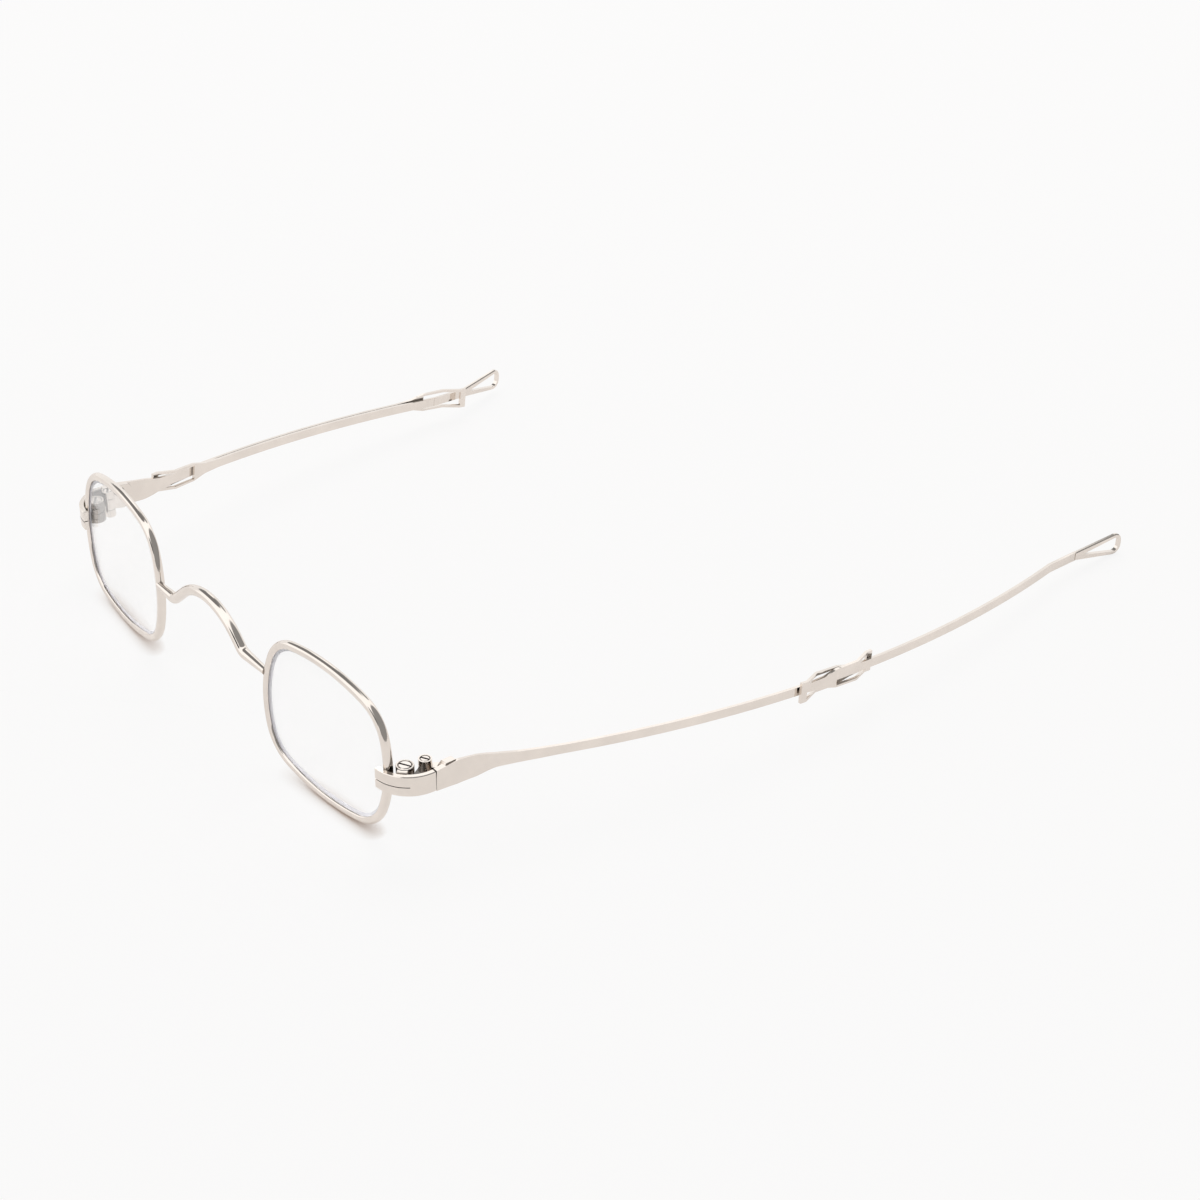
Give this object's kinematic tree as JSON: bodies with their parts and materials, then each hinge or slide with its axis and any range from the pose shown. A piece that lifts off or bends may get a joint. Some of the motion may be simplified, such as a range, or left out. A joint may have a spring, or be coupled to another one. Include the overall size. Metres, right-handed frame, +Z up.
{
  "type": "temple spectacles",
  "caption": "Small-lens spectacles with an arched wire bridge, slit and screwed endpieces, and curved folding temples that slide out to length and end in open loops.",
  "frame": {"origin": "middle of the bridge, on the underside that rests on the nose", "axes": "+X towards the wearer's left, +Y back along the temples towards the ears, +Z up"},
  "size_m": [0.1258, 0.1542, 0.0255],
  "materials": {
    "silver": "polished, lightly worn silver",
    "screw_silver": "polished screw metal",
    "lens_glass": "clear polished glass"
  },
  "bodies": {
    "front": {"bridge": "silver", "eyewire_left": "silver", "lens_left": "lens_glass", "endpiece_band_left": "silver", "closing_block_upper_left": "silver", "closing_block_lower_left": "silver", "closing_screw_left": "screw_silver", "front_hinge_left": "silver", "hinge_screw_left": "screw_silver", "eyewire_right": "silver", "lens_right": "lens_glass", "endpiece_band_right": "silver", "closing_block_upper_right": "silver", "closing_block_lower_right": "silver", "closing_screw_right": "screw_silver", "front_hinge_right": "silver", "hinge_screw_right": "screw_silver"},
    "temple_left": {"temple_strip_left": "silver", "hinge_leaf_left": "silver"},
    "extension_left": {"temple_slide_left": "silver"},
    "temple_right": {"temple_strip_right": "silver", "hinge_leaf_right": "silver"},
    "extension_right": {"temple_slide_right": "silver"}
  },
  "joints": [
    {"name": "fold_left", "type": "hinge", "parent": "front", "child": "temple_left", "pos_m": [0.0495, 0.0084, -0.00818], "axis": [0, 0, 1], "range_deg": [0, 88]},
    {"name": "fold_right", "type": "hinge", "parent": "front", "child": "temple_right", "pos_m": [-0.0495, 0.0084, -0.00753], "axis": [0, 0, -1], "range_deg": [0, 90]},
    {"name": "extend_left", "type": "hinge", "parent": "temple_left", "child": "extension_left", "pos_m": [-0.1436, 0.07732, -0.01312], "axis": [0, 0.0715, 0.9974], "range_deg": [-15.31, 0]},
    {"name": "extend_right", "type": "hinge", "parent": "temple_right", "child": "extension_right", "pos_m": [0.1436, 0.07707, -0.01524], "axis": [0, -0.1115, -0.9938], "range_deg": [0, 15.31]}
  ]
}
